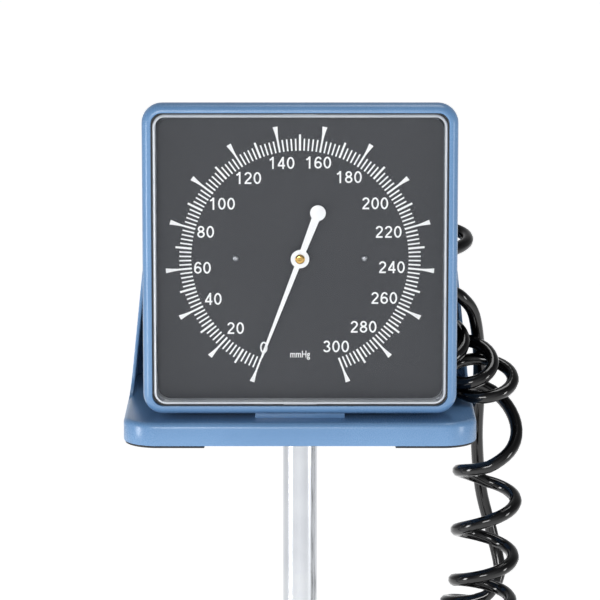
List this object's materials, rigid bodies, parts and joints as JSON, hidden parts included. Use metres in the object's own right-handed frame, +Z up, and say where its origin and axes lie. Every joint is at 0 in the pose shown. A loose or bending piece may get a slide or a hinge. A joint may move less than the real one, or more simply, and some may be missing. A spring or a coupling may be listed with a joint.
{
  "type": "mobile aneroid sphygmomanometer",
  "caption": "Wall-clock style aneroid blood pressure gauge on a tray with a cuff pocket, coiled hose, rolled cuff and bulb, carried by a telescopic column on a castor stand.",
  "frame": {"origin": "on the column's axis, at floor level under the wheels", "axes": "+Z up the column, -Y the way the dial faces, +X to the right of someone who reads the dial"},
  "size_m": [0.5256, 0.5148, 1.0757],
  "materials": {
    "blue_moulding": "satin injection-moulded ABS, light blue",
    "clear_crystal": "polished clear moulded crystal",
    "black_seal": "matt black elastomer",
    "dial_grey": "matt charcoal enamel",
    "pointer_white": "matt white enamel",
    "polished_brass": "turned and lacquered",
    "capsule_bronze": "pressed phosphor bronze",
    "zinc_plated_steel": "zinc plated",
    "spring_steel": "blued",
    "carrier_steel": "pressed, plain",
    "chrome_plate": "bright chromium plate",
    "cast_aluminium": "die cast, bead blasted",
    "black_cast_metal": "die cast, black powder coat",
    "black_nylon": "fine moulded grain",
    "castor_nylon": "fine moulded grain",
    "wheel_tread": "moulded, slightly worn",
    "acetal": "turned, natural white",
    "hose_black": "glossy smooth polyurethane",
    "bulb_rubber": "soft matt latex-free rubber",
    "cuff_nylon": "woven coated nylon, navy"
  },
  "bodies": {
    "base": {"star_base": "black_cast_metal", "base_bolt": "zinc_plated_steel", "outer_column": "chrome_plate", "guide_bush": "acetal", "height_collar": "black_nylon"},
    "castor_1": {"castor_body_1": "castor_nylon"},
    "wheels_1": {"castor_wheels_1": "wheel_tread"},
    "castor_2": {"castor_body_2": "castor_nylon"},
    "wheels_2": {"castor_wheels_2": "wheel_tread"},
    "castor_3": {"castor_body_3": "castor_nylon"},
    "wheels_3": {"castor_wheels_3": "wheel_tread"},
    "castor_4": {"castor_body_4": "castor_nylon"},
    "wheels_4": {"castor_wheels_4": "wheel_tread"},
    "castor_5": {"castor_body_5": "castor_nylon"},
    "wheels_5": {"castor_wheels_5": "wheel_tread"},
    "clamp": {"clamp_knob": "black_nylon", "clamp_screw": "zinc_plated_steel"},
    "mast": {"inner_column": "chrome_plate", "column_top_plug": "black_nylon", "head_screw": "zinc_plated_steel", "column_foot": "acetal"},
    "head": {"gauge_bezel": "blue_moulding", "rear_cover": "blue_moulding", "crystal": "clear_crystal", "crystal_seal": "black_seal", "dial_plate": "dial_grey", "dial_screws": "zinc_plated_steel", "carrier_plate": "carrier_steel", "movement_front_plate": "polished_brass", "movement_rear_plate": "polished_brass", "movement_pillars": "polished_brass", "hairspring": "spring_steel", "capsule_stack": "capsule_bronze", "inlet_manifold": "polished_brass", "hose_port": "chrome_plate", "case_screws": "zinc_plated_steel", "gauge_foot": "blue_moulding", "foot_screws": "zinc_plated_steel", "cuff_tray": "blue_moulding", "tray_pads": "black_seal", "column_socket": "cast_aluminium", "socket_screws": "zinc_plated_steel", "cuff": "cuff_nylon", "cuff_gauge_tube": "bulb_rubber", "cuff_bulb_tube": "bulb_rubber", "hose_coil": "hose_black", "hose_gauge_lead": "hose_black", "hose_cuff_lead": "hose_black", "hose_connector": "chrome_plate", "inflation_bulb": "bulb_rubber", "bulb_end_valve": "chrome_plate", "release_valve": "chrome_plate"},
    "sector": {"sector_gear": "polished_brass"},
    "pointer": {"pointer": "pointer_white", "pointer_cap": "polished_brass", "pinion_arbor": "polished_brass"},
    "rod": {"push_rod": "carrier_steel"},
    "release": {"release_screw": "chrome_plate"}
  },
  "joints": [
    {"name": "castor_swivel_1", "type": "hinge", "parent": "base", "child": "castor_1", "pos_m": [0, -0.235, 0.06], "axis": [0, 0, 1], "continuous": true},
    {"name": "wheel_spin_1", "type": "hinge", "parent": "castor_1", "child": "wheels_1", "pos_m": [0.01559, -0.244, 0.025], "axis": [0.5, 0.866, 0], "continuous": true},
    {"name": "castor_swivel_2", "type": "hinge", "parent": "base", "child": "castor_2", "pos_m": [0.2235, -0.07262, 0.06], "axis": [0, 0, 1], "continuous": true},
    {"name": "wheel_spin_2", "type": "hinge", "parent": "castor_2", "child": "wheels_2", "pos_m": [0.23688, -0.06057, 0.025], "axis": [-0.6691, 0.7431, 0], "continuous": true},
    {"name": "castor_swivel_3", "type": "hinge", "parent": "base", "child": "castor_3", "pos_m": [0.13813, 0.19012, 0.06], "axis": [0, 0, 1], "continuous": true},
    {"name": "wheel_spin_3", "type": "hinge", "parent": "castor_3", "child": "wheels_3", "pos_m": [0.13081, 0.20656, 0.025], "axis": [-0.9135, -0.4067, 0], "continuous": true},
    {"name": "castor_swivel_4", "type": "hinge", "parent": "base", "child": "castor_4", "pos_m": [-0.13813, 0.19012, 0.06], "axis": [0, 0, 1], "continuous": true},
    {"name": "wheel_spin_4", "type": "hinge", "parent": "castor_4", "child": "wheels_4", "pos_m": [-0.15603, 0.18824, 0.025], "axis": [0.1045, -0.9945, 0], "continuous": true},
    {"name": "castor_swivel_5", "type": "hinge", "parent": "base", "child": "castor_5", "pos_m": [-0.2235, -0.07262, 0.06], "axis": [0, 0, 1], "continuous": true},
    {"name": "wheel_spin_5", "type": "hinge", "parent": "castor_5", "child": "wheels_5", "pos_m": [-0.22724, -0.09023, 0.025], "axis": [0.9781, -0.2079, 0], "continuous": true},
    {"name": "clamp_turn", "type": "hinge", "parent": "base", "child": "clamp", "pos_m": [-0.04, 0, 0.522], "axis": [1, 0, 0], "range_deg": [0, 720]},
    {"name": "height_slide", "type": "slide", "parent": "base", "child": "mast", "axis": [0, 0, 1], "range_m": [0, 0.32]},
    {"name": "head_turn", "type": "hinge", "parent": "mast", "child": "head", "pos_m": [0, 0, 0.889], "axis": [0, 0, 1], "continuous": true},
    {"name": "sector_turn", "type": "hinge", "parent": "head", "child": "sector", "pos_m": [0.033, -0.037, 0.9917], "axis": [0, 1, 0], "range_deg": [-31.8, 0], "stiffness_Nm_per_rad": 0.15, "springref_deg": 5.73},
    {"name": "pointer_turn", "type": "hinge", "parent": "head", "child": "pointer", "pos_m": [0, -0.037, 0.9917], "axis": [0, 1, 0], "range_deg": [0, 318]},
    {"name": "rod_lift", "type": "slide", "parent": "head", "child": "rod", "axis": [0, 0, 1], "range_m": [0, 0.0036], "deforming": ["capsule_stack"]},
    {"name": "release_turn", "type": "hinge", "parent": "head", "child": "release", "pos_m": [0.002, 0.004, 0.9705], "axis": [0, 0, 1], "range_deg": [0, 720]}
  ],
  "couplings": [
    {"joint": "pointer_turn", "follows": "sector_turn", "ratio": -10},
    {"joint": "rod_lift", "follows": "sector_turn", "m_per_rad": -0.0064169}
  ]
}
